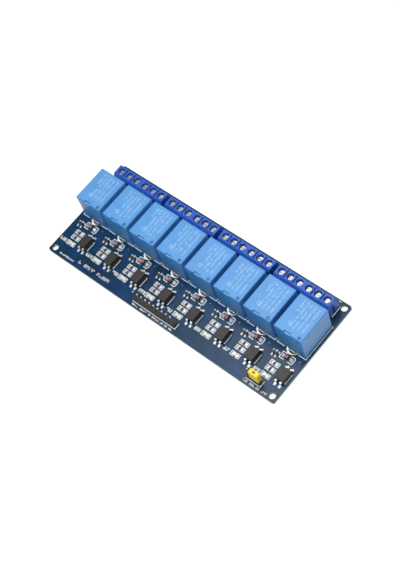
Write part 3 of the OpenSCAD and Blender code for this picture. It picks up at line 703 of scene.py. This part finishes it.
def solder(form):
    """Pads, fillets and drops of solder at every surface-mounted lead."""
    for axis in AXES:
        chip = axis + CHIP_X
        for y, high in ((LAMP_Y, 0.2), (LAMP_RESISTOR_Y, 0.22), (BASE_RESISTOR_Y, 0.22)):
            for side in (-1, 1):
                inner, outer = chip + side * 0.96, chip + side * 1.75
                pad(form, chip + side * 0.65, chip + side * 1.85, y - 0.62, y + 0.62)
                form.wedge(min(inner, outer), max(inner, outer), y - 0.6, y + 0.6, high, 0.08,
                           (-side, 0))
        d = axis + DIODE_X
        for side in (-1, 1):
            inner, outer = d + side * 1.72, d + side * 2.6
            pad(form, d + side * 1.4, d + side * 2.75, DIODE_Y - 0.8, DIODE_Y + 0.8)
            form.wedge(min(inner, outer), max(inner, outer), DIODE_Y - 0.75, DIODE_Y + 0.75,
                       0.7, 0.1, (-side, 0))
        for x, side in ((-0.95, -1), (0.95, -1), (0, 1)):
            place = axis + SOT_X + x
            pad(form, place - 0.4, place + 0.4, SOT_Y + side * 0.9, SOT_Y + side * 1.8)
            form.mound(place, SOT_Y + side * 1.36, 0.34, 0.36, 0.24, 0.02)
        o = axis + OPTO_X
        for x in (-1.27, 1.27):
            for side in (-1, 1):
                half, end = (0.55, 5.45) if side < 0 else (0.42, 4.95)
                pad(form, o + x - half, o + x + half, OPTO_Y + side * 3.9, OPTO_Y + side * end)
            form.wedge(o + x - 0.44, o + x + 0.44, OPTO_Y - 5.3, OPTO_Y - 4.5, 0.2, 0.06, (0, 1))


# ---------- operators ----------


class RELAY_OT_board(bpy.types.Operator):
    """Finish the circuit board and lay its covered copper tracks"""

    bl_idname = "relay_board.board"
    bl_label = "Circuit Board"

    def execute(self, context):
        look = context.scene.board_look
        dress(["circuit_board"], board_mask(look))
        form = Form()
        tracks(form)
        form.piece("copper_tracks", covered_copper(look))
        return {"FINISHED"}


class RELAY_OT_legend(bpy.types.Operator):
    """Print the component outlines and plain marks on the board"""

    bl_idname = "relay_board.legend"
    bl_label = "Printed Legend"

    def execute(self, context):
        look = context.scene.board_look
        rng = random.Random(7)
        line = look.line / MM
        form = Form()
        for axis in AXES:
            channel_legend(form, axis, line)
            strokes(form, axis - 8.7, axis - 5.1, LAMP_Y - 0.9, LAMP_Y + 0.9, rng, 0.38, 0.3)
        corner = AXES[-1] + OUTLINE_HALF
        form.ribbon([(corner, RELAY_LOW.y + 0.85), (corner, RELAY_HIGH.y)], line, INK_Z, INK_T)
        strokes(form, 6.6, 15.6, 1.3, 2.2, rng, 0.34, 0.28)
        strokes(form, 18.0, 20.0, 2.3, 4.0, rng, 0.3, 0.55)
        strokes(form, 21.5, 28.0, 2.3, 4.0, rng, 0.3, 0.55)
        strokes(form, 30.0, 38.3, 2.3, 4.0, rng, 0.3, 0.55)
        for node in ("input_header_base", "power_header_base"):
            low, high = span(node)
            form.ribbon([(low.x - 0.2, low.y - 0.3), (high.x + 0.5, low.y - 0.3),
                         (high.x + 0.5, high.y + 0.3)], line, INK_Z, INK_T)
        left = span("input_header_base")[0].x + 1.27
        for i in range(10):
            strokes(form, left + i * 2.54 - 1.0, left + i * 2.54 + 1.0, 0.65, 1.5, rng, 0.32, 0.24)
        left = span("power_header_base")[0].x
        for start, end in ((-0.6, 2.2), (3.2, 6.4), (6.7, 8.8), (9.8, 12.9)):
            strokes(form, left + start, left + end, 0.75, 1.85, rng, 0.28, 0.32)
        for k in (1, 3, 5, 7):
            low, right = span(f"terminal_block_{k}")[0], span(f"terminal_block_{k + 1}")[1].x
            form.ribbon([(low.x + 0.2, BOARD_W - 0.85), (right - 0.4, BOARD_W - 0.85)], line, INK_Z,
                        INK_T)
        right = span("terminal_block_8")[1].x + 0.4
        form.ribbon([(right, 46.8), (right, 53.3)], line * 1.2, INK_Z, INK_T)
        form.piece("printed_legend", printed("legend_ink", look.legend))
        return {"FINISHED"}


class RELAY_OT_relays(bpy.types.Operator):
    """Finish the relay cases, mark their tops and finish their pins"""

    bl_idname = "relay_board.relays"
    bl_label = "Relays"

    def execute(self, context):
        look = context.scene.parts_look
        dress(numbered("relay"), relay_finish(look))
        dress(["relay_pins"], metal("relay_pin_tin", context.scene.metal_look.tin, 0.3))
        form = Form()
        relay_marks(form, random.Random(11))
        form.piece("relay_marks", printed("relay_ink", look.relay_print, 0.12))
        return {"FINISHED"}


class RELAY_OT_terminals(bpy.types.Operator):
    """Finish the terminal blocks, their screws, clamps and pins"""

    bl_idname = "relay_board.terminals"
    bl_label = "Screw Terminals"

    def execute(self, context):
        look, metals = context.scene.parts_look, context.scene.metal_look
        dress(numbered("terminal_block"),
              moulded("terminal_plastic", look.terminal, rough=0.36, cloud=0.08, edge=look.edge))
        dress(["terminal_screws"], metal("screw_plating", metals.steel, metals.roughness,
                                         scratch=0.02, edge=0.1 * MM, share=0.85))
        dress(["wire_clamps"], metal("clamp_plating", metals.brass, 0.32))
        dress(["terminal_pins"], metal("terminal_pin_tin", metals.tin, 0.3))
        return {"FINISHED"}


class RELAY_OT_chips(bpy.types.Operator):
    """Finish the optocouplers and the transistors with their leads"""

    bl_idname = "relay_board.chips"
    bl_label = "Moulded Chips"

    def execute(self, context):
        look, metals = context.scene.parts_look, context.scene.metal_look
        dress([*numbered("optocoupler"), "transistors"],
              moulded("chip_plastic", look.chip, rough=0.48, grain_mm=0.16, cloud=0.1, bump=0.03))
        dress(["optocoupler_leads", "transistor_leads"],
              metal("lead_tin", shade(metals.tin, 1.15), 0.3, share=0.3))
        return {"FINISHED"}


class RELAY_OT_small_parts(bpy.types.Operator):
    """Finish the diodes, resistors and lamps"""

    bl_idname = "relay_board.small_parts"
    bl_label = "Diodes, Resistors and Lamps"

    def execute(self, context):
        look, tin = context.scene.parts_look, context.scene.metal_look.tin
        dress(numbered("diode"), diode_finish(look))
        dress(["diode_caps"], diode_cap_finish(tin))
        dress(["base_resistors", "lamp_resistors"], resistor_finish(look.ceramic, tin))
        dress(numbered("status_lamp"), lamp_finish(look, tin))
        return {"FINISHED"}


class RELAY_OT_headers(bpy.types.Operator):
    """Finish the pin headers and the jumper cap"""

    bl_idname = "relay_board.headers"
    bl_label = "Headers and Jumper"

    def execute(self, context):
        look, metals = context.scene.parts_look, context.scene.metal_look
        dress(["input_header_base", "power_header_base"],
              moulded("header_plastic", look.strip, rough=0.5, cloud=0.15, edge=look.edge * 0.6))
        dress(["input_header_pins", "power_header_pins"], pin_finish(metals.tin))
        dress(["jumper_cap"],
              moulded("jumper_plastic", look.jumper, rough=0.38, cloud=0.06, edge=look.edge))
        dress(["jumper_clip"], metal("clip_plating", metals.brass, 0.3))
        return {"FINISHED"}


class RELAY_OT_solder(bpy.types.Operator):
    """Finish the joints under the board and add solder, pads and vias on top"""

    bl_idname = "relay_board.solder"
    bl_label = "Solder"

    def execute(self, context):
        tin = context.scene.metal_look.tin
        dress(["solder_joints"], metal("joint_solder", tin, 0.22))
        form = Form()
        solder(form)
        form.piece("pad_solder", metal("pad_solder", shade(tin, 1.05), 0.42, share=0.4))
        form = Form()
        vias(form, random.Random(5))
        form.piece("via_pads", metal("via_tin", shade(tin, 0.5), 0.4))
        return {"FINISHED"}


class RELAY_OT_stage(bpy.types.Operator):
    """Set up the floor, the surround, the softbox and the camera"""

    bl_idname = "relay_board.stage"
    bl_label = "Studio"

    def execute(self, context):
        look = context.scene.studio_look
        self.floor()
        self.surround(context, look)
        self.lamp("softbox", look.key, size=0.3, place=(0.03, -0.05, 0.55), target=(0, 0, 0.01))
        self.lamp("sheen_card", look.card, size=0.17, place=(-0.125, 0.115, 0.5),
                  target=(0.05, 0, 0))
        self.camera(context, look)
        context.scene.view_settings.view_transform = "Standard"
        return {"FINISHED"}

    def floor(self):
        mesh = bmesh.new()
        bmesh.ops.create_grid(mesh, x_segments=4, y_segments=4, size=2)
        data = bpy.data.meshes.new("floor")
        mesh.to_mesh(data)
        mesh.free()
        ground = bpy.data.objects.new("floor", data)
        bpy.context.scene.collection.objects.link(ground)
        f = Finish("floor_paper", roughness=0.9)
        f.set(base_color=f.mix(f.noise(30, 2) * 0.2, (0.8, 0.8, 0.8), (0.76, 0.76, 0.76)))
        seen = self.seen_directly(f)
        bright = f.node("ShaderNodeEmission", {}, {"Color": (1, 1, 1), "Strength": 0.9})
        grey = f.node("ShaderNodeBsdfDiffuse", {}, {"Color": (0.2, 0.2, 0.2)})
        lit = f.node("ShaderNodeAddShader", {}, {0: bright, 1: grey})
        plain = Wire(f, f.shader.outputs[0])
        both = f.node("ShaderNodeMixShader", {}, {0: seen, 1: plain, 2: lit})
        out = f.tree.nodes["Material Output"]
        f.tree.links.new(both.socket, out.inputs[0])
        data.materials.append(f.material)

    def seen_directly(self, f):
        path = [f.node("ShaderNodeLightPath", {}, {}, name)
                for name in ("Is Camera Ray", "Is Glossy Ray", "Is Transmission Ray")]
        return path[0].most(path[1]).most(path[2])

    def surround(self, context, look):
        """Pale walls and a dimmer ceiling; the walls look white wherever they are seen directly."""
        world = bpy.data.worlds.new("surround")
        context.scene.world = world
        world.use_nodes = True
        f = Surround(world.node_tree)
        high = f.node("ShaderNodeSeparateXYZ", {}, {0: f.place}, 2).rise(0.15, 0.6)
        seen = self.seen_directly(f)
        light = look.walls + seen * (1 - look.walls)
        back = f.node("ShaderNodeBackground", {},
                      {0: (0.97, 0.985, 1), 1: light - high * (light - look.ceiling)})
        f.tree.links.new(back.socket, f.tree.nodes["World Output"].inputs[0])

    def lamp(self, name, power, size, place, target):
        """A square lamp that faces its target."""
        data = bpy.data.lights.new(name, "AREA")
        data.energy = power
        data.shape = "SQUARE"
        data.size = size
        made = bpy.data.objects.new(name, data)
        made.location = place
        away = Vector(place) - Vector(target)
        made.rotation_euler = away.to_track_quat("Z", "Y").to_euler()
        bpy.context.scene.collection.objects.link(made)

    def camera(self, context, look):
        data = bpy.data.cameras.new("camera")
        data.sensor_fit = "HORIZONTAL"
        data.sensor_width = 36
        data.lens = look.lens
        data.clip_start = 0.05
        data.clip_end = 20
        made = bpy.data.objects.new("camera", data)
        made.location = look.eye
        made.rotation_euler = Euler(look.turn)
        context.scene.collection.objects.link(made)
        context.scene.camera = made


class RELAY_PT_board(bpy.types.Panel):
    bl_label = "Relay Board"
    bl_idname = "RELAY_PT_board"
    bl_space_type = "VIEW_3D"
    bl_region_type = "UI"
    bl_category = "Relay Board"

    def draw(self, context):
        for name, group in LOOKS.items():
            box = self.layout.box()
            look = getattr(context.scene, name)
            for prop in group.__annotations__:
                box.prop(look, prop)
        for step in STEPS:
            self.layout.operator(step.bl_idname)


STEPS = (RELAY_OT_stage, RELAY_OT_board, RELAY_OT_legend, RELAY_OT_relays, RELAY_OT_terminals,
         RELAY_OT_chips, RELAY_OT_small_parts, RELAY_OT_headers, RELAY_OT_solder)


def register():
    for item in (*LOOKS.values(), *STEPS, RELAY_PT_board):
        bpy.utils.register_class(item)
    for name, group in LOOKS.items():
        setattr(bpy.types.Scene, name, PointerProperty(type=group))


def unregister():
    for name in LOOKS:
        delattr(bpy.types.Scene, name)
    for item in reversed((*LOOKS.values(), *STEPS, RELAY_PT_board)):
        bpy.utils.unregister_class(item)


def main():
    register()
    for step in STEPS:
        group, name = step.bl_idname.split(".")
        getattr(getattr(bpy.ops, group), name)()


if __name__ == "__main__":
    main()
